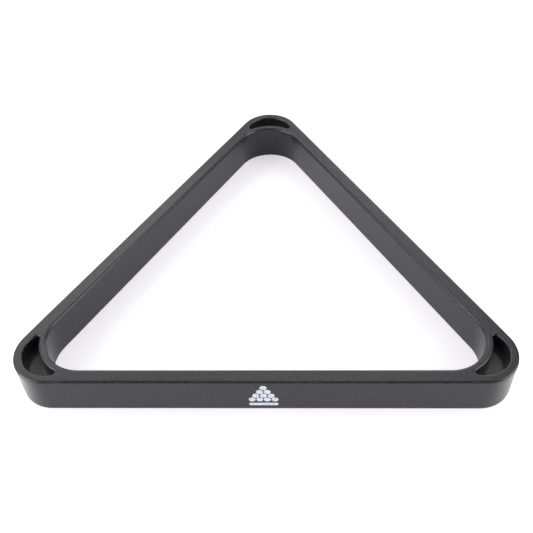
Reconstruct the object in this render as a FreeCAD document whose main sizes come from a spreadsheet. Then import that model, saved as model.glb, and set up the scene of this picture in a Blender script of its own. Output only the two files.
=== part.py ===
import FreeCAD, Part
import math
import os
import Sketcher

# Triangle rack for fifteen pool balls: one moulded plastic ring that lies flat, with a blind crescent recess
# in the top of each corner, and a printed mark on the front wall.
# Frame: +Z up, z = 0 on the table, the front rail along X on the -Y side, the far corner towards +Y.
# Every sketch is drawn about the centre of the triangle. Each body's Placement then moves the rack so that
# the row's origin is the middle of its footprint.

VOLUME_MARGIN = 0.05

DRIVING_SIZES = (
    ("ball_diameter", 57.15, "pool ball, 2 1/4 in"),
    ("ball_rows", 5, "rows of balls that the rack holds"),
    ("rail_width", 10.5, "rail, across its top face"),
    ("rail_height", 29.7, "table to top face, a little over half a ball"),
    ("outer_corner", 24.5, "radius of the outer corners in plan"),
    ("inner_corner", 25.9, "radius of the inner corners in plan, a little under a ball's own"),
    ("inner_draft", 1.6, "slope of the inner wall in degrees, wider at the bottom"),
    ("outer_round", 1.5, "round along the ring's outer top edge"),
    ("inner_round", 2.0, "round along the ring's inner top edge"),
    ("base_round", 1.0, "round along the ring's two bottom edges"),
    ("recess_depth", 18.0, "crescent recess, top face to floor"),
    ("recess_outer_wall", 5.9, "wall left outside a crescent"),
    ("recess_inner_wall", 4.8, "wall left inside a crescent"),
    ("recess_tip", 2.0, "radius of a crescent's two tips in plan"),
    ("recess_draft", 0.75, "slope of a crescent's walls in degrees, narrower at the floor"),
    ("recess_rim", 1.1, "round along a crescent's rim"),
    ("recess_floor_round", 1.5, "round along a crescent's floor"),
    ("mark_rows", 4, "rows of discs in the printed pyramid"),
    ("mark_disc", 4.4, "diameter of a printed disc"),
    ("mark_pitch", 4.9, "from one disc to the next"),
    ("mark_bar", 2.75, "height of the printed bar under the discs"),
    ("mark_gap", 1.65, "from the bar to the lowest discs"),
    ("mark_base", 4.5, "table to the bottom of the bar"),
    ("mark_film", 0.15, "thickness of the printed film"),
)

# Derived sizes, as expressions on the sheet. An inradius is the distance from the centre to a side. The
# centre of a corner's arc is on the corner's bisector, at twice the difference of inradius and arc radius.
INNER_INRADIUS = "(Sizes.ball_diameter / 2 + (Sizes.ball_rows - 1) * Sizes.ball_diameter / (2 * sqrt(3)))"
OUTER_INRADIUS = f"({INNER_INRADIUS} + Sizes.rail_width)"
INNER_CORNER_CENTRE = f"(2 * ({INNER_INRADIUS} - Sizes.inner_corner))"
OUTER_CORNER_CENTRE = f"(2 * ({OUTER_INRADIUS} - Sizes.outer_corner))"
RECESS_OUTER_RADIUS = "(Sizes.outer_corner - Sizes.recess_outer_wall)"
RECESS_INNER_RADIUS = "(Sizes.inner_corner + Sizes.recess_inner_wall)"
FOOTPRINT_MIDDLE = f"(({OUTER_CORNER_CENTRE} + Sizes.outer_corner - {OUTER_INRADIUS}) / 2)"

CORNER_ANGLES = (90, 210, 330)
START, END, CENTRE = 1, 2, 3
ORIGIN_POINT = (-1, 1)
Y_AXIS = -2


def make_sheet(doc):
    """The driving dimensions: a name, a plain number with an alias, and a note in each row."""
    sheet = doc.addObject("Spreadsheet::Sheet", "Sizes")
    for row, (alias, number, note) in enumerate(DRIVING_SIZES, 1):
        sheet.set(f"A{row}", alias)
        sheet.set(f"B{row}", str(number))
        sheet.setAlias(f"B{row}", alias)
        sheet.set(f"C{row}", note)
    doc.recompute()
    return sheet


def make_body(doc, label):
    """A body about the triangle's centre, moved so that the origin is the middle of the rack's footprint."""
    body = doc.addObject("PartDesign::Body", label)
    body.Label = label
    body.AllowCompound = True
    body.setExpression("Placement.Base.y", f"-{FOOTPRINT_MIDDLE}")
    return body


def origin_feature(body, role):
    """One of the body's own origin planes or axes."""
    return next(item for item in body.Origin.OriginFeatures if item.Role == role)


def add_sketch(body, name, plane, lift="0"):
    """A sketch on one of the body's origin planes, lifted along its normal."""
    sketch = body.newObject("Sketcher::SketchObject", name)
    sketch.AttachmentSupport = [(origin_feature(body, plane), "")]
    sketch.MapMode = "FlatFace"
    sketch.setExpression("AttachmentOffset.Base.z", lift)
    return sketch


def arc(centre_x, centre_y, radius, start_degrees, end_degrees):
    """An anticlockwise arc for a sketch."""
    circle = Part.Circle(FreeCAD.Vector(centre_x, centre_y, 0), FreeCAD.Vector(0, 0, 1), radius)
    return Part.ArcOfCircle(circle, math.radians(start_degrees), math.radians(end_degrees))


def tie(sketch, kind, *places):
    """Adds a constraint that has no size."""
    sketch.addConstraint(Sketcher.Constraint(kind, *places))


def drive(sketch, name, kind, places, expression):
    """Adds a constraint that has a size, and binds it to an expression on the sheet."""
    index = sketch.addConstraint(Sketcher.Constraint(kind, *places, sketch.evalExpression(expression)))
    sketch.renameConstraint(index, name)
    sketch.setExpression(f"Constraints.{name}", expression)


def add_rounded_triangle(sketch, inradius, corner):
    """An equilateral triangle about the sketch's origin, with one corner on +Y and every corner rounded."""
    side_distance = sketch.evalExpression(inradius)
    radius = sketch.evalExpression(corner)
    arm = 2 * (side_distance - radius)
    corners = []
    for angle in CORNER_ANGLES:
        x = arm * math.cos(math.radians(angle))
        y = arm * math.sin(math.radians(angle))
        corners.append(arc(x, y, radius, angle - 60, angle + 60))
    sides = []
    for index in range(3):
        sides.append(Part.LineSegment(corners[index].EndPoint, corners[(index + 1) % 3].StartPoint))
    sketch.addGeometry(corners + sides, False)
    # Geometry 0 to 2 are the corners and 3 to 5 the sides. Side 4 joins the two front corners.
    for index in range(3):
        side = index + 3
        tie(sketch, "Tangent", index, END, side, START)
        tie(sketch, "Tangent", side, END, (index + 1) % 3, START)
        drive(sketch, f"side_{index + 1}", "Distance", (*ORIGIN_POINT, side), inradius)
    for index in (1, 2):
        tie(sketch, "Equal", 0, index)
        tie(sketch, "Equal", 3, index + 3)
    tie(sketch, "Horizontal", 4)
    drive(sketch, "corner", "Radius", (0,), corner)


def add_crescent(sketch):
    """The crescent in the corner on +Y: an arc about each of the corner's two centres, and two round tips."""
    outer_centre = sketch.evalExpression(OUTER_CORNER_CENTRE)
    inner_centre = sketch.evalExpression(INNER_CORNER_CENTRE)
    outer_radius = sketch.evalExpression(RECESS_OUTER_RADIUS)
    inner_radius = sketch.evalExpression(RECESS_INNER_RADIUS)
    tip = sketch.evalExpression("Sizes.recess_tip")
    # A tip touches the outer arc from inside and the inner arc from outside.
    outer_arm = outer_radius - tip
    inner_arm = inner_radius + tip
    apart = outer_centre - inner_centre
    tip_rise = (apart**2 + inner_arm**2 - outer_arm**2) / (2 * apart)
    tip_x = math.sqrt(inner_arm**2 - tip_rise**2)
    tip_y = inner_centre + tip_rise
    outer_angle = math.degrees(math.atan2(tip_y - outer_centre, tip_x))
    inner_angle = math.degrees(math.atan2(tip_rise, tip_x))
    outer, inner, right, left = range(4)
    sketch.addGeometry(
        [
            arc(0, outer_centre, outer_radius, outer_angle, 180 - outer_angle),
            arc(0, inner_centre, inner_radius, inner_angle, 180 - inner_angle),
            arc(tip_x, tip_y, tip, inner_angle - 180, outer_angle),
            arc(-tip_x, tip_y, tip, 180 - outer_angle, 360 - inner_angle),
        ],
        False,
    )
    tie(sketch, "Tangent", outer, START, right, END)
    tie(sketch, "Tangent", right, START, inner, START)
    tie(sketch, "Tangent", inner, END, left, END)
    tie(sketch, "Tangent", left, START, outer, END)
    tie(sketch, "PointOnObject", outer, CENTRE, Y_AXIS)
    tie(sketch, "PointOnObject", inner, CENTRE, Y_AXIS)
    tie(sketch, "Equal", right, left)
    drive(sketch, "outer_reach", "DistanceY", (*ORIGIN_POINT, outer, CENTRE), OUTER_CORNER_CENTRE)
    drive(sketch, "inner_reach", "DistanceY", (*ORIGIN_POINT, inner, CENTRE), INNER_CORNER_CENTRE)
    drive(sketch, "outer_arc", "Radius", (outer,), RECESS_OUTER_RADIUS)
    drive(sketch, "inner_arc", "Radius", (inner,), RECESS_INNER_RADIUS)
    drive(sketch, "tip", "Radius", (right,), "Sizes.recess_tip")


def edge_names(shape, wanted):
    """The names of a shape's edges that pass a test."""
    return [f"Edge{number}" for number, edge in enumerate(shape.Edges, 1) if wanted(edge)]


def is_level(item, height):
    """True for an edge or a face that lies at one height all over."""
    return abs(item.BoundBox.ZMin - height) < 1e-4 and abs(item.BoundBox.ZMax - height) < 1e-4


def face_loops(shape, height):
    """The loops that bound the shape's level face at one height, the shortest first."""
    face = next(item for item in shape.Faces if is_level(item, height))
    return sorted(face.Wires, key=lambda loop: loop.Length)


def loop_edges(shape, loops):
    """The names of the edges that make up some of a shape's loops."""
    members = [edge for loop in loops for edge in loop.Edges]
    return edge_names(shape, lambda edge: any(edge.isSame(member) for member in members))


def add_fillet(body, name, base, edges, radius):
    """A round of one radius along named edges of the body's last feature."""
    fillet = body.newObject("PartDesign::Fillet", name)
    fillet.Base = (base, edges)
    fillet.setExpression("Radius", radius)
    body.Document.recompute()
    return fillet


def check_removed(before, after, expected, what):
    """Stops the build if the cuts between two features took away far from the volume that they should."""
    removed = before.Shape.Volume - after.Shape.Volume
    if abs(removed - expected) > VOLUME_MARGIN * expected:
        raise RuntimeError(f"{what} removed {removed:.0f} mm3, and {expected:.0f} was expected")


def sketch_area(sketch):
    """The area that a sketch's closed outline encloses."""
    return Part.Face(Part.Wire(Part.__sortEdges__(sketch.Shape.Edges))).Area


def make_frame(doc, sheet):
    """The moulded ring with its three crescent recesses."""
    body = make_body(doc, "frame")

    outline = add_sketch(body, "outline", "XY_Plane")
    add_rounded_triangle(outline, OUTER_INRADIUS, "Sizes.outer_corner")
    block = body.newObject("PartDesign::Pad", "block")
    block.Profile = outline
    block.setExpression("Length", "Sizes.rail_height")
    doc.recompute()

    ball_space = add_sketch(body, "ball_space", "XY_Plane", "Sizes.rail_height")
    add_rounded_triangle(ball_space, INNER_INRADIUS, "Sizes.inner_corner")
    opening = body.newObject("PartDesign::Pocket", "opening")
    opening.Profile = ball_space
    opening.setExpression("Length", "Sizes.rail_height")
    opening.setExpression("TaperAngle", "Sizes.inner_draft")
    doc.recompute()
    check_removed(block, opening, sketch_area(ball_space) * sheet.rail_height, "the opening")

    height = sheet.rail_height
    edges = edge_names(opening.Shape, lambda edge: is_level(edge, 0))
    ring = add_fillet(body, "base_rounds", opening, edges, "Sizes.base_round")
    edges = loop_edges(ring.Shape, face_loops(ring.Shape, height)[-1:])
    ring = add_fillet(body, "outer_round", ring, edges, "Sizes.outer_round")
    edges = loop_edges(ring.Shape, face_loops(ring.Shape, height)[:1])
    ring = add_fillet(body, "inner_round", ring, edges, "Sizes.inner_round")

    crescent = add_sketch(body, "crescent", "XY_Plane", "Sizes.rail_height")
    add_crescent(crescent)
    recess = body.newObject("PartDesign::Pocket", "recess")
    recess.Profile = crescent
    recess.setExpression("Length", "Sizes.recess_depth")
    recess.setExpression("TaperAngle", "-Sizes.recess_draft")
    doc.recompute()

    recesses = body.newObject("PartDesign::PolarPattern", "recesses")
    recesses.Originals = [recess]
    recesses.Axis = (origin_feature(body, "Z_Axis"), [""])
    recesses.Angle = 360
    recesses.Occurrences = len(CORNER_ANGLES)
    body.Tip = recesses
    doc.recompute()
    crescent_volume = sketch_area(crescent) * sheet.recess_depth
    check_removed(ring, recesses, len(CORNER_ANGLES) * crescent_volume, "the recesses")

    floor = height - sheet.recess_depth
    edges = edge_names(recesses.Shape, lambda edge: is_level(edge, floor))
    floors = add_fillet(body, "recess_floors", recesses, edges, "Sizes.recess_floor_round")

    # The shortest loops round the top face are the crescents' rims.
    edges = loop_edges(floors.Shape, face_loops(floors.Shape, height)[: len(CORNER_ANGLES)])
    body.Tip = add_fillet(body, "recess_rims", floors, edges, "Sizes.recess_rim")
    return body


def add_disc(sketch, name, across, up, first):
    """A circle at a driven place, as large as the first circle of the sketch."""
    centre = FreeCAD.Vector(sketch.evalExpression(across), sketch.evalExpression(up), 0)
    radius = sketch.evalExpression("Sizes.mark_disc / 2")
    disc = sketch.addGeometry(Part.Circle(centre, FreeCAD.Vector(0, 0, 1), radius), False)
    if first is None:
        drive(sketch, "disc_radius", "Radius", (disc,), "Sizes.mark_disc / 2")
    else:
        tie(sketch, "Equal", first, disc)
    drive(sketch, f"{name}_across", "DistanceX", (*ORIGIN_POINT, disc, CENTRE), across)
    drive(sketch, f"{name}_up", "DistanceY", (*ORIGIN_POINT, disc, CENTRE), up)
    return disc


def add_bar(sketch):
    """The printed bar, as wide as the lowest row of discs and round at both ends."""
    end_reach = "(((Sizes.mark_rows - 1) * Sizes.mark_pitch + Sizes.mark_disc - Sizes.mark_bar) / 2)"
    up = "(Sizes.mark_base + Sizes.mark_bar / 2)"
    radius = sketch.evalExpression("Sizes.mark_bar / 2")
    reach = sketch.evalExpression(end_reach)
    height = sketch.evalExpression(up)
    right = arc(reach, height, radius, -90, 90)
    left = arc(-reach, height, radius, 90, 270)
    top = Part.LineSegment(right.EndPoint, left.StartPoint)
    bottom = Part.LineSegment(left.EndPoint, right.StartPoint)
    outline = sketch.addGeometry([right, top, left, bottom], False)
    for edge, following in zip(outline, outline[1:] + outline[:1]):
        tie(sketch, "Tangent", edge, END, following, START)
    right, top, left, bottom = outline
    tie(sketch, "Equal", right, left)
    tie(sketch, "Symmetric", right, CENTRE, left, CENTRE, Y_AXIS)
    drive(sketch, "bar_end", "Radius", (right,), "Sizes.mark_bar / 2")
    drive(sketch, "bar_across", "DistanceX", (*ORIGIN_POINT, right, CENTRE), end_reach)
    drive(sketch, "bar_up", "DistanceY", (*ORIGIN_POINT, right, CENTRE), up)


def make_front_mark(doc, sheet):
    """A pictogram of racked balls over a bar, printed on the front wall in a film of its own thickness."""
    body = make_body(doc, "front_mark")
    sketch = add_sketch(body, "pictogram", "XZ_Plane", OUTER_INRADIUS)
    rows = int(sheet.mark_rows)
    first = None
    for row in range(rows):
        up = (
            "Sizes.mark_base + Sizes.mark_bar + Sizes.mark_gap + Sizes.mark_disc / 2"
            f" + {row} * Sizes.mark_pitch * sqrt(3) / 2"
        )
        in_row = rows - row
        for place in range(in_row):
            across = f"{place - (in_row - 1) / 2} * Sizes.mark_pitch"
            disc = add_disc(sketch, f"disc_{row + 1}_{place + 1}", across, up, first)
            first = disc if first is None else first
    add_bar(sketch)
    film = body.newObject("PartDesign::Pad", "film")
    film.Profile = sketch
    film.setExpression("Length", "Sizes.mark_film")
    doc.recompute()
    return body


def check_document(doc, sub_parts):
    """Stops the build if an object failed to recompute, a sketch is loose or a sub-part's shape is bad."""
    for item in doc.Objects:
        if "Invalid" in item.State or "Error" in item.State:
            raise RuntimeError(f"{item.Name} did not recompute: {item.State}")
    for sketch in doc.findObjects("Sketcher::SketchObject"):
        if not sketch.FullyConstrained:
            raise RuntimeError(f"sketch {sketch.Name} is not fully constrained")
    for body in sub_parts:
        if body.Shape.isNull() or not body.Shape.isValid():
            raise RuntimeError(f"{body.Label} has no valid shape")


def write_parts(sub_parts):
    """Writes one STEP file for each sub-part, named by its label."""
    os.makedirs("parts", exist_ok=True)
    for body in sub_parts:
        body.Shape.exportStep(f"parts/{body.Label}.step")
        print(f"{body.Label}: {len(body.Shape.Solids)} solids, {body.Shape.Volume:.1f} mm3")


doc = FreeCAD.newDocument("triangle_rack")
sheet = make_sheet(doc)
sub_parts = [make_frame(doc, sheet), make_front_mark(doc, sheet)]
doc.recompute()
check_document(doc, sub_parts)
write_parts(sub_parts)
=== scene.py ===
"""Looks for the triangle rack: a satin black moulded ring with a white printed mark, on a white sweep."""

import math

import bmesh
import bpy
from mathutils import Matrix, Vector


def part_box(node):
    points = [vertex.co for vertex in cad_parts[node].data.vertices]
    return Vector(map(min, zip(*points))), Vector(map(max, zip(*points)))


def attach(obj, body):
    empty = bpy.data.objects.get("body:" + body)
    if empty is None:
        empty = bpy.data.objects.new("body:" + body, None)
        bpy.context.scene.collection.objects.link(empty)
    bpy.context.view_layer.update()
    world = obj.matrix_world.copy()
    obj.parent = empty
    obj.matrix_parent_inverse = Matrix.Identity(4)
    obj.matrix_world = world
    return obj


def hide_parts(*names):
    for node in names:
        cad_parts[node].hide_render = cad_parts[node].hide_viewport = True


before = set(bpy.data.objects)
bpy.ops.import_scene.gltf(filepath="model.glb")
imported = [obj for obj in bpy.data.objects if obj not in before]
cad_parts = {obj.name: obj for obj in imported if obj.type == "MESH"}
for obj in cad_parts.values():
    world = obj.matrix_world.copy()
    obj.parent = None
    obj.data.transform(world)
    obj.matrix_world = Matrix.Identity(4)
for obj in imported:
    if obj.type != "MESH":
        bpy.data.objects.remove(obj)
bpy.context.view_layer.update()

# Sizes in metres. The overall sizes come from the CAD frame, and these are the ones its box doesn't give.
MM = 0.001
RAIL_WIDTH = 10.5 * MM
OUTER_CORNER = 24.5 * MM
INNER_CORNER = 25.9 * MM
INNER_DRAFT = math.radians(1.6)
OUTER_ROUND = 1.5 * MM
INNER_ROUND = 2.0 * MM
BASE_ROUND = 1.0 * MM
RECESS_DEPTH = 18.0 * MM
RECESS_OUTER_WALL = 5.9 * MM
RECESS_INNER_WALL = 4.8 * MM
RECESS_TIP = 2.0 * MM
RECESS_DRAFT = math.radians(0.75)
RECESS_RIM = 1.1 * MM
RECESS_FLOOR_ROUND = 1.5 * MM

# How sharply the recess's pale colour, dust and painted light on its floor, thins out from the floor up.
PAINTED_LIGHT_AND_DUST_POWER = 4

low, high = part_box("frame")
HEIGHT = high.z - low.z
OUTER_INRADIUS = (high.y - low.y + OUTER_CORNER) / 3
INNER_INRADIUS = OUTER_INRADIUS - RAIL_WIDTH
CENTRE = Vector((0, low.y + OUTER_INRADIUS, low.z))
OUTER_ARC = 2 * (OUTER_INRADIUS - OUTER_CORNER)
INNER_ARC = 2 * (INNER_INRADIUS - INNER_CORNER)
SIDE_ANGLE = math.radians(30)

# Mesh density.
ROUND_STEPS = 6
WALL_STEPS = 6
FLOOR_ROUND_STEPS = 4
CRESCENT_STEPS = 36
TIP_STEPS = 8
BEND_STEPS = 5
HALF_SIDE_STEPS = 22
OUTER_LAND_STEPS = 3
INNER_LAND_STEPS = 3
TURNS = (0, 2 * math.pi / 3, 4 * math.pi / 3)
# Points closer than this are welded. The weight says how far larger faces pull the shared normals over.
WELD = 0.002 * MM
NORMAL_WEIGHT = 90

# A point of the skin is its place and its marks, 0 to 1: how rubbed the plastic is there, and how much of
# the recess floor's pale colour it has, which is dust and painted light.
CLEAN = (0.0, 0.0)


def heading(angle):
    """The unit vector in plan at an angle from +X."""
    return Vector((math.cos(angle), math.sin(angle)))


def spaced(start, end, steps):
    """Evenly spaced numbers from start to end, both included."""
    return [start + (end - start) * index / steps for index in range(steps + 1)]


def convex_round(radius, lean, level, start, end, steps=ROUND_STEPS):
    """A round between a level face and a wall, as (offset, height, marks) rows.

    It is most rubbed in its middle. Offsets are measured from the wall's line at the top face, along the
    wall's outward normal, and lean is how far that normal points below level. The normal turns from start
    to end, measured from straight up.
    """
    middle = -radius / math.cos(lean) - (HEIGHT - level) * math.tan(lean)
    rows = []
    for index, turn in enumerate(spaced(start, end, steps)):
        rubbed = math.sin(math.pi * index / steps)
        rows.append((middle + radius * math.sin(turn), level + radius * math.cos(turn), (rubbed, 0.0)))
    return rows


def wall(lean, top, bottom):
    """The points between a wall's two ends, as (offset, height, marks) rows."""
    heights = spaced(top, bottom, WALL_STEPS)[1:-1]
    return [(-(HEIGHT - z) * math.tan(lean), z, CLEAN) for z in heights]


def side_profile(lean, top_round):
    """One side of the ring's section, from the top face round the wall to the underside."""
    level_out = math.pi / 2 + lean
    top = convex_round(top_round, lean, HEIGHT - top_round, 0, level_out)
    bottom = convex_round(BASE_ROUND, lean, BASE_ROUND, level_out, math.pi)
    return top + wall(lean, top[-1][1], bottom[0][1]) + bottom


def recess_profile():
    """A recess's section, from the top face over the rim and down the wall to the floor, which is painted
    pale with dust and with painted light.
    """
    lean = -RECESS_DRAFT
    rim = convex_round(RECESS_RIM, lean, HEIGHT - RECESS_RIM, 0, math.pi / 2 + lean)
    level = HEIGHT - RECESS_DEPTH + RECESS_FLOOR_ROUND
    middle = RECESS_FLOOR_ROUND / math.cos(lean) - (HEIGHT - level) * math.tan(lean)
    hollow = []
    for turn in spaced(math.pi / 2 + lean, 0, FLOOR_ROUND_STEPS):
        across = middle - RECESS_FLOOR_ROUND * math.sin(turn)
        hollow.append((across, level - RECESS_FLOOR_ROUND * math.cos(turn), CLEAN))
    rows = []
    for across, z, marks in rim + wall(lean, rim[-1][1], hollow[0][1]) + hollow:
        # Dust and painted light: the recess is painted paler towards its floor, where light reaching the
        # floor would brighten it.
        painted_light_and_dust = ((HEIGHT - z) / RECESS_DEPTH) ** PAINTED_LIGHT_AND_DUST_POWER
        rows.append((across, z, (marks[0], painted_light_and_dust)))
    return rows


def crescent_geometry():
    """The place of a crescent's +X tip, and the angles at which that tip meets the two arcs."""
    outer_arm = OUTER_CORNER - RECESS_OUTER_WALL - RECESS_TIP
    inner_arm = INNER_CORNER + RECESS_INNER_WALL + RECESS_TIP
    apart = OUTER_ARC - INNER_ARC
    rise = (apart**2 + inner_arm**2 - outer_arm**2) / (2 * apart)
    across = math.sqrt(inner_arm**2 - rise**2)
    tip = Vector((across, INNER_ARC + rise))
    return tip, math.atan2(tip.y - OUTER_ARC, across), math.atan2(rise, across)


OUTER_PROFILE = side_profile(0.0, OUTER_ROUND)
INNER_PROFILE = side_profile(INNER_DRAFT, INNER_ROUND)
TIP_CENTRE, OUTER_TIP_ANGLE, INNER_TIP_ANGLE = crescent_geometry()


def turned(place, facing, turn):
    """A place and the way it faces, turned about the ring's centre to another corner."""
    spin = Matrix.Rotation(turn, 2)
    return spin @ place, spin @ facing


def corner_stations():
    """The ring's outlines across one crescent, as (outer, inner) pairs of (place, facing)."""
    stations = []
    outer_angles = spaced(OUTER_TIP_ANGLE, math.pi - OUTER_TIP_ANGLE, CRESCENT_STEPS)
    inner_angles = spaced(INNER_TIP_ANGLE, math.pi - INNER_TIP_ANGLE, CRESCENT_STEPS)
    for outer, inner in zip(outer_angles, inner_angles):
        facing = min(max(outer, SIDE_ANGLE), math.pi - SIDE_ANGLE)
        reach = OUTER_CORNER / math.cos(facing - outer)
        outer_place = Vector((0, OUTER_ARC)) + heading(outer) * reach
        inner_place = Vector((0, INNER_ARC)) + heading(inner) * INNER_CORNER
        stations.append(((outer_place, heading(facing)), (inner_place, -heading(inner))))
    return stations


def side_stations():
    """The outlines from past one crescent's -X tip to just before the next crescent's tip."""
    facing = heading(math.pi - SIDE_ANGLE)
    along = heading(math.pi + 2 * SIDE_ANGLE)
    outer_start = corner_stations()[-1][0][0]
    bend_end = Vector((0, INNER_ARC)) + facing * INNER_CORNER
    half = []
    for share in spaced(0, 1, BEND_STEPS)[1:]:
        angle = math.pi - INNER_TIP_ANGLE + share * (INNER_TIP_ANGLE - SIDE_ANGLE)
        inner = Vector((0, INNER_ARC)) + heading(angle) * INNER_CORNER
        outer = outer_start.lerp(bend_end + facing * RAIL_WIDTH, share)
        half.append(((outer, facing), (inner, -heading(angle))))
    length = (facing * INNER_INRADIUS - bend_end).dot(along)
    for distance in spaced(0, length, HALF_SIDE_STEPS)[1:]:
        inner = bend_end + along * distance
        half.append(((inner + facing * RAIL_WIDTH, facing), (inner, -facing)))
    mirrored = []
    for outer, inner in reversed(half[:-1]):
        mirrored.append((flipped(outer, along), flipped(inner, along)))
    return half + mirrored


def flipped(outline_point, along):
    """An outline point, mirrored across the line from the ring's centre to the middle of its side."""
    place, facing = outline_point
    return place - along * 2 * place.dot(along), facing - along * 2 * facing.dot(along)


def crescent_sides():
    """A crescent's outer arc, -X tip, inner arc and +X tip, as lists of (place, facing into the recess)."""
    outer_centre = Vector((0, OUTER_ARC))
    inner_centre = Vector((0, INNER_ARC))
    outer_radius = OUTER_CORNER - RECESS_OUTER_WALL
    inner_radius = INNER_CORNER + RECESS_INNER_WALL
    outer = []
    for angle in spaced(OUTER_TIP_ANGLE, math.pi - OUTER_TIP_ANGLE, CRESCENT_STEPS):
        outer.append((outer_centre + heading(angle) * outer_radius, -heading(angle)))
    inner = []
    for angle in spaced(INNER_TIP_ANGLE, math.pi - INNER_TIP_ANGLE, CRESCENT_STEPS):
        inner.append((inner_centre + heading(angle) * inner_radius, heading(angle)))
    right_tip = []
    for angle in spaced(OUTER_TIP_ANGLE, INNER_TIP_ANGLE - math.pi, TIP_STEPS):
        right_tip.append((TIP_CENTRE + heading(angle) * RECESS_TIP, -heading(angle)))
    across = Vector((-1, 1))
    left_tip = [(place * across, facing * across) for place, facing in right_tip]
    return outer, left_tip, inner, right_tip


def lifted(outline_point, row, turn):
    """The point of a section that stands on an outline point, in space, with its marks."""
    place, facing = turned(*outline_point, turn)
    offset, height, marks = row
    across = place + facing * offset
    return CENTRE + Vector((across.x, across.y, height)), marks


def between(start, end, steps):
    """Points on the flat from one to another, both included, with as much of the recess's pale dust and
    painted light as the first, and not rubbed.
    """
    return [(start[0].lerp(end[0], share), (0.0, start[1][1])) for share in spaced(0, 1, steps)]


class Skin:
    """A mesh made of grids, whose shared edges are welded at the end."""

    def __init__(self):
        self.mesh = bmesh.new()
        self.rubbed = self.mesh.verts.layers.float.new("rubbed")
        self.painted_light_and_dust = self.mesh.verts.layers.float.new("painted_light_and_dust")

    def grid(self, rows):
        """Adds the quads of a grid of (place, marks) points."""
        made = []
        for row in rows:
            verts = []
            for place, marks in row:
                vert = self.mesh.verts.new(place)
                vert[self.rubbed], vert[self.painted_light_and_dust] = marks
                verts.append(vert)
            made.append(verts)
        for first, second in zip(made, made[1:]):
            for index in range(len(first) - 1):
                self.mesh.faces.new((first[index], first[index + 1], second[index + 1], second[index]))

    def finish(self, name):
        """Welds the grids, faces them outwards and makes the object."""
        bmesh.ops.remove_doubles(self.mesh, verts=self.mesh.verts, dist=WELD)
        bmesh.ops.recalc_face_normals(self.mesh, faces=self.mesh.faces)
        data = bpy.data.meshes.new(name)
        self.mesh.to_mesh(data)
        self.mesh.free()
        data.shade_smooth()
        piece = bpy.data.objects.new(name, data)
        bpy.context.scene.collection.objects.link(piece)
        return piece


def ring_row(station, turn):
    """The ring's section at one station, from the top face out, down, under and up the inside."""
    outer = [lifted(station[0], row, turn) for row in OUTER_PROFILE]
    inner = [lifted(station[1], row, turn) for row in INNER_PROFILE]
    under = between(outer[-1], inner[-1], OUTER_LAND_STEPS + TIP_STEPS + INNER_LAND_STEPS)
    return outer + under[1:-1] + inner[::-1]


def add_recess(skin, turn):
    """Adds a crescent's walls, floor and surrounding top face. Returns the top face's two end columns."""
    outer, left_tip, inner, right_tip = crescent_sides()
    profile = recess_profile()
    loop = outer[:-1] + left_tip[:-1] + inner[::-1][:-1] + right_tip[::-1]
    skin.grid([[lifted(point, row, turn) for row in profile] for point in loop])

    base = profile[-1]
    floor = [[lifted(point, base, turn) for point in right_tip]]
    for outer_point, inner_point in zip(outer[1:-1], inner[1:-1]):
        start = lifted(outer_point, base, turn)
        end = lifted(inner_point, base, turn)
        floor.append(between(start, end, TIP_STEPS))
    floor.append([lifted(point, base, turn) for point in left_tip])
    skin.grid(floor)

    rim = profile[0]
    ring_edge = OUTER_PROFILE[0]
    inner_edge = INNER_PROFILE[0]
    outer_land = []
    inner_land = []
    for station, outer_point, inner_point in zip(corner_stations(), outer, inner):
        start = lifted(station[0], ring_edge, turn)
        end = lifted(station[1], inner_edge, turn)
        outer_land.append(between(start, lifted(outer_point, rim, turn), OUTER_LAND_STEPS))
        inner_land.append(between(lifted(inner_point, rim, turn), end, INNER_LAND_STEPS))
    skin.grid(outer_land)
    skin.grid(inner_land)
    columns = []
    for index, tip in ((0, right_tip), (-1, left_tip)):
        middle = [lifted(point, rim, turn) for point in tip]
        columns.append(outer_land[index][:-1] + middle + inner_land[index][1:])
    return columns


def add_side_land(skin, start, end, turn):
    """Adds the top face of one side, between the end columns of two crescents."""
    shares = []
    whole = (start[-1][0] - start[0][0]).normalized()
    length = (start[-1][0] - start[0][0]).length
    for place, _ in start:
        shares.append((place - start[0][0]).dot(whole) / length)
    rows = [start]
    for station in side_stations():
        outer = lifted(station[0], OUTER_PROFILE[0], turn)[0]
        inner = lifted(station[1], INNER_PROFILE[0], turn)[0]
        rows.append([(outer.lerp(inner, share), CLEAN) for share in shares])
    rows.append(end)
    skin.grid(rows)


def make_frame():
    """The moulded ring, as one skin of quads."""
    skin = Skin()
    sections = []
    for turn in TURNS:
        sections += [ring_row(station, turn) for station in corner_stations() + side_stations()]
    skin.grid(sections + sections[:1])
    ends = [add_recess(skin, turn) for turn in TURNS]
    for index, turn in enumerate(TURNS):
        add_side_land(skin, ends[index][1], ends[(index + 1) % len(TURNS)][0], turn)
    piece = skin.finish("moulded_ring")
    evener = piece.modifiers.new("even_normals", "WEIGHTED_NORMAL")
    evener.weight = NORMAL_WEIGHT
    return piece


def node(tree, kind, **inputs):
    """A shader node with its sockets set."""
    made = tree.nodes.new(kind)
    for name, value in inputs.items():
        made.inputs[name.replace("_", " ")].default_value = value
    return made


def new_material(name):
    """An empty node material with its Principled shader."""
    material = bpy.data.materials.new(name)
    material.use_nodes = True
    tree = material.node_tree
    shader = tree.nodes["Principled BSDF"]
    return material, tree, shader


def ramp(tree, source, positions, colours):
    """A colour ramp on a factor, with one colour at each of two positions."""
    made = tree.nodes.new("ShaderNodeValToRGB")
    for stop, position, colour in zip(made.color_ramp.elements, positions, colours):
        stop.position = position
        stop.color = (*colour, 1)
    tree.links.new(source, made.inputs["Fac"])
    return made.outputs["Color"]


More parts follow.
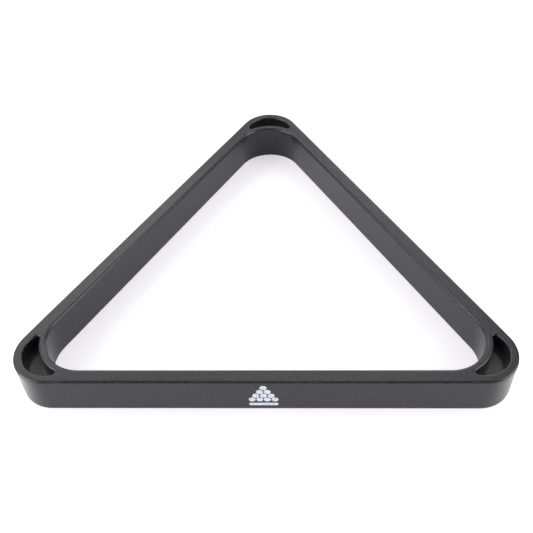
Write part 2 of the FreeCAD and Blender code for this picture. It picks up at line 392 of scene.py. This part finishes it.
def noise(tree, feature, detail, roughness):
    """Noise in the object's own space, with features of about one size in metres."""
    place = tree.nodes.new("ShaderNodeTexCoord").outputs["Object"]
    made = node(tree, "ShaderNodeTexNoise", Scale=1 / feature, Detail=detail, Roughness=roughness)
    tree.links.new(place, made.inputs["Vector"])
    return made.outputs["Fac"]


def mapped(tree, source, start, end, low_value, high_value):
    """A factor, remapped from one range to another and kept inside it."""
    made = tree.nodes.new("ShaderNodeMapRange")
    tree.links.new(source, made.inputs["Value"])
    made.inputs["From Min"].default_value = start
    made.inputs["From Max"].default_value = end
    made.inputs["To Min"].default_value = low_value
    made.inputs["To Max"].default_value = high_value
    return made.outputs["Result"]


def combined(tree, operation, first, second):
    """The result of a sum or a product of two varying values."""
    made = tree.nodes.new("ShaderNodeMath")
    made.operation = operation
    tree.links.new(first, made.inputs[0])
    tree.links.new(second, made.inputs[1])
    return made.outputs["Value"]


def blended(tree, share, first, second):
    """A mix of two colours by a varying share."""
    made = tree.nodes.new("ShaderNodeMix")
    made.data_type = "RGBA"
    tree.links.new(share, made.inputs["Factor"])
    for socket, source in (("A", first), ("B", second)):
        target = next(item for item in made.inputs if item.name == socket and item.type == "RGBA")
        tree.links.new(source, target)
    return next(item for item in made.outputs if item.type == "RGBA")


def attribute(tree, name):
    """One of the skin's marks, as a factor."""
    made = tree.nodes.new("ShaderNodeAttribute")
    made.attribute_name = name
    return made.outputs["Fac"]


# The patterns in the materials, as (size of their features, detail, roughness of their noise), and the span
# that most values of such a noise lie in.
CLOUDS = (38 * MM, 4.0, 0.6)
MOTTLE = (1.4 * MM, 3.0, 0.7)
GRAIN = (0.4 * MM, 3.0, 0.55)
SMUDGES = (7 * MM, 2.0, 0.5)
INK_COVER = (1.1 * MM, 3.0, 0.6)
NOISE_SPAN = (0.3, 0.7)

# Colours in linear light, each as a dark and a pale end. Spans say where in the noise those ends lie.
BLACK = ((0.0015, 0.0014, 0.0022), (0.0170, 0.0163, 0.0225))
BLACK_SPAN = (0.38, 0.62)
SCUFF = ((0.024, 0.023, 0.022), (0.048, 0.046, 0.044))
# The recess floors' pale colour: partly dust, partly painted light that stands in for light reaching the
# floor.
PAINTED_LIGHT_AND_DUST = ((0.222, 0.216, 0.211), (0.288, 0.281, 0.275))
INK = ((0.40, 0.43, 0.50), (0.70, 0.73, 0.79))
INK_SPAN = (0.35, 0.58)

# Rubbed edges are scuffed where the smudges rise above the first of these values, and fully at the second.
SCUFF_SPAN = (0.62, 0.72)
SCUFF_SHARE = 0.8

# Gloss. The plastic's roughness is the sum of two parts, one from the clouds and one from the mottle, with
# the dust's on top.
PLASTIC_SPECULAR = 0.44
ROUGHNESS_PART = (0.13, 0.17)
DUST_ROUGHNESS = 0.4
INK_ROUGHNESS = (0.42, 0.58)

# Bumps, as the strength and the height of their relief.
PITS = {"Strength": 0.25, "Distance": 0.03 * MM}
WAVES = {"Strength": 0.5, "Distance": 0.06 * MM}
INK_RELIEF = {"Strength": 0.2, "Distance": 0.02 * MM}


def plastic():
    """Satin black moulded plastic: mottled, grained, scuffed at its edges, and pale on its recess floors
    with dust and painted light.
    """
    material, tree, shader = new_material("satin_black_plastic")
    link = tree.links.new
    clouds = noise(tree, *CLOUDS)
    mottle = noise(tree, *MOTTLE)
    grain = noise(tree, *GRAIN)
    smudges = noise(tree, *SMUDGES)
    rubbed = attribute(tree, "rubbed")
    # How much pale dust and painted light a recess floor has, as the skin gives it.
    painted_light_and_dust = attribute(tree, "painted_light_and_dust")

    black = ramp(tree, mottle, BLACK_SPAN, BLACK)
    scuff = ramp(tree, mottle, NOISE_SPAN, SCUFF)
    painted_light_and_dust_colour = ramp(tree, mottle, NOISE_SPAN, PAINTED_LIGHT_AND_DUST)
    scuffed = combined(tree, "MULTIPLY", rubbed, mapped(tree, smudges, *SCUFF_SPAN, 0.0, SCUFF_SHARE))
    colour = blended(tree, scuffed, black, scuff)
    colour = blended(tree, painted_light_and_dust, colour, painted_light_and_dust_colour)
    link(colour, shader.inputs["Base Color"])

    satin = mapped(tree, clouds, *NOISE_SPAN, *ROUGHNESS_PART)
    uneven = mapped(tree, mottle, *NOISE_SPAN, *ROUGHNESS_PART)
    matt = mapped(tree, painted_light_and_dust, 0.0, 1.0, 0.0, DUST_ROUGHNESS)
    shader.inputs["Specular IOR Level"].default_value = PLASTIC_SPECULAR
    link(combined(tree, "ADD", combined(tree, "ADD", satin, uneven), matt), shader.inputs["Roughness"])

    pits = node(tree, "ShaderNodeBump", **PITS)
    waves = node(tree, "ShaderNodeBump", **WAVES)
    link(grain, pits.inputs["Height"])
    link(mottle, waves.inputs["Height"])
    link(waves.outputs["Normal"], pits.inputs["Normal"])
    link(pits.outputs["Normal"], shader.inputs["Normal"])
    return material


def print_ink():
    """White printing ink: thinner in places, where the black under it shows through a little."""
    material, tree, shader = new_material("white_printing_ink")
    cover = noise(tree, *INK_COVER)
    tree.links.new(ramp(tree, cover, INK_SPAN, INK), shader.inputs["Base Color"])
    tree.links.new(mapped(tree, cover, *NOISE_SPAN, *INK_ROUGHNESS), shader.inputs["Roughness"])
    relief = node(tree, "ShaderNodeBump", **INK_RELIEF)
    tree.links.new(cover, relief.inputs["Height"])
    tree.links.new(relief.outputs["Normal"], shader.inputs["Normal"])
    return material


# The sweep's material glows evenly, as though lit from below through its own sheet, which softens the
# shadows on it.
# Beside each near corner it glows brighter in a patch of painted light, given by its centre in metres and
# its glow, which brightens what the corner's outer wall mirrors. A patch glows in full out to its core and
# fades to the sweep's own glow at its reach.
SWEEP_REACH = 6.0
SWEEP_COLOUR = (0.485, 0.477, 0.500, 1)
SWEEP_ROUGHNESS = 0.9
SWEEP_SPECULAR = 0.1
GLOW_COLOUR = (0.985, 0.970, 1.0, 1)
SWEEP_GLOW = 0.55
PAINTED_LIGHT_PATCHES = (((-0.205, -0.115, 0), 1.75), ((0.205, -0.115, 0), 1.5))
PAINTED_LIGHT_CORE = 25 * MM
PAINTED_LIGHT_REACH = 62 * MM


def make_floor():
    """The white sweep that the rack lies on."""
    data = bpy.data.meshes.new("floor")
    ends = (-SWEEP_REACH, SWEEP_REACH)
    corners = [(x, y, 0) for x in ends for y in ends]
    data.from_pydata(corners, [], [(0, 2, 3, 1)])
    floor = bpy.data.objects.new("floor", data)
    bpy.context.scene.collection.objects.link(floor)
    material, tree, shader = new_material("white_sweep")
    shader.inputs["Base Color"].default_value = SWEEP_COLOUR
    shader.inputs["Roughness"].default_value = SWEEP_ROUGHNESS
    shader.inputs["Specular IOR Level"].default_value = SWEEP_SPECULAR
    shader.inputs["Emission Color"].default_value = GLOW_COLOUR
    place = tree.nodes.new("ShaderNodeTexCoord").outputs["Object"]
    glows = []
    # Painted light: the sweep's glow is raised in a patch beside each near corner.
    for patch_centre, peak in PAINTED_LIGHT_PATCHES:
        away = tree.nodes.new("ShaderNodeVectorMath")
        away.operation = "DISTANCE"
        away.inputs[1].default_value = patch_centre
        tree.links.new(place, away.inputs[0])
        glows.append(mapped(tree, away.outputs["Value"], PAINTED_LIGHT_CORE, PAINTED_LIGHT_REACH, peak, SWEEP_GLOW))
    tree.links.new(combined(tree, "MAXIMUM", *glows), shader.inputs["Emission Strength"])
    data.materials.append(material)


# The soft boxes all face the rack from the same distance. Each has a name, a direction in plan counted
# anticlockwise from +X, an elevation, both in degrees, and a power in watts.
SOFT_BOX_SIDE = 0.75
SOFT_BOX_REACH = 1.3
SOFT_BOXES = (
    ("left_soft_box", 180, 42, 6.5),
    ("low_left_soft_box", 207, 20, 13.5),
    ("right_soft_box", 0, 42, 5.6),
    ("low_right_soft_box", 345, 20, 8.5),
    ("low_back_soft_box", 65, 20, 4.2),
    ("back_left_soft_box", 122, 40, 4.4),
    ("back_soft_box", 85, 38, 1.5),
    ("high_back_soft_box", 75, 62, 2.8),
    ("high_front_soft_box", 270, 65, 1.2),
    ("overhead_soft_box", 90, 90, 0.8),
)


def make_soft_box(name, azimuth, elevation, power):
    """A square soft light that faces the middle of the rack."""
    data = bpy.data.lights.new(name, "AREA")
    data.shape = "SQUARE"
    data.size = SOFT_BOX_SIDE
    data.energy = power
    level = math.cos(math.radians(elevation))
    turn = math.radians(azimuth)
    away = Vector((level * math.cos(turn), level * math.sin(turn), math.sin(math.radians(elevation))))
    light = bpy.data.objects.new(name, data)
    light.location = CENTRE + Vector((0, 0, HEIGHT / 2)) + away * SOFT_BOX_REACH
    light.rotation_euler = away.to_track_quat("Z", "Y").to_euler()
    bpy.context.scene.collection.objects.link(light)


# The surroundings: a white backdrop near the horizon, in a dim room.
BACKDROP_COLOUR = (0.96, 0.975, 1.0, 1)
BACKDROP = 1.0
ROOM = 0.12
BACKDROP_TOP = math.radians(6)
ROOM_START = math.radians(26)


def make_world():
    """The white backdrop low down, which fades upwards into the dim room."""
    world = bpy.data.worlds.new("studio")
    bpy.context.scene.world = world
    world.use_nodes = True
    tree = world.node_tree
    direction = tree.nodes.new("ShaderNodeTexCoord").outputs["Generated"]
    parts = tree.nodes.new("ShaderNodeSeparateXYZ")
    fade = tree.nodes.new("ShaderNodeMapRange")
    fade.interpolation_type = "SMOOTHSTEP"
    fade.inputs["From Min"].default_value = math.sin(BACKDROP_TOP)
    fade.inputs["From Max"].default_value = math.sin(ROOM_START)
    fade.inputs["To Min"].default_value = BACKDROP
    fade.inputs["To Max"].default_value = ROOM
    background = tree.nodes["Background"]
    background.inputs["Color"].default_value = BACKDROP_COLOUR
    tree.links.new(direction, parts.inputs["Vector"])
    tree.links.new(parts.outputs["Z"], fade.inputs["Value"])
    tree.links.new(fade.outputs["Result"], background.inputs["Strength"])


# The camera stands in front of the mark, looking down at the ring.
CAMERA_PLACE = Vector((17.0, -407.7, 408.7)) * MM
CAMERA_DOWN = math.radians(46.22)
CAMERA_YAW = math.radians(-2.60)
CAMERA_ROLL = math.radians(-2.17)
CAMERA_LENS = 49.22
CAMERA_SENSOR = 36
CAMERA_NEAR = 0.01


def make_camera():
    """The camera, aimed by how far it looks down, turns and rolls."""
    data = bpy.data.cameras.new("camera")
    data.lens = CAMERA_LENS
    data.sensor_width = CAMERA_SENSOR
    data.clip_start = CAMERA_NEAR
    camera = bpy.data.objects.new("camera", data)
    ahead = Vector((math.sin(CAMERA_YAW), math.cos(CAMERA_YAW), 0)) * math.cos(CAMERA_DOWN)
    ahead.z = -math.sin(CAMERA_DOWN)
    level = Vector((math.cos(CAMERA_YAW), -math.sin(CAMERA_YAW), 0))
    upward = level.cross(ahead)
    right = level * math.cos(CAMERA_ROLL) + upward * math.sin(CAMERA_ROLL)
    top = upward * math.cos(CAMERA_ROLL) - level * math.sin(CAMERA_ROLL)
    turn = Matrix((right, top, -ahead)).transposed()
    camera.matrix_world = Matrix.Translation(CAMERA_PLACE) @ turn.to_4x4()
    bpy.context.scene.collection.objects.link(camera)
    bpy.context.scene.camera = camera


ring = make_frame()
ring.data.materials.append(plastic())
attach(ring, "root")
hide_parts("frame")

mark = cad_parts["front_mark"]
mark.data.materials.clear()
mark.data.materials.append(print_ink())

make_floor()
make_world()
for soft_box in SOFT_BOXES:
    make_soft_box(*soft_box)
make_camera()
bpy.context.scene.view_settings.view_transform = "Standard"
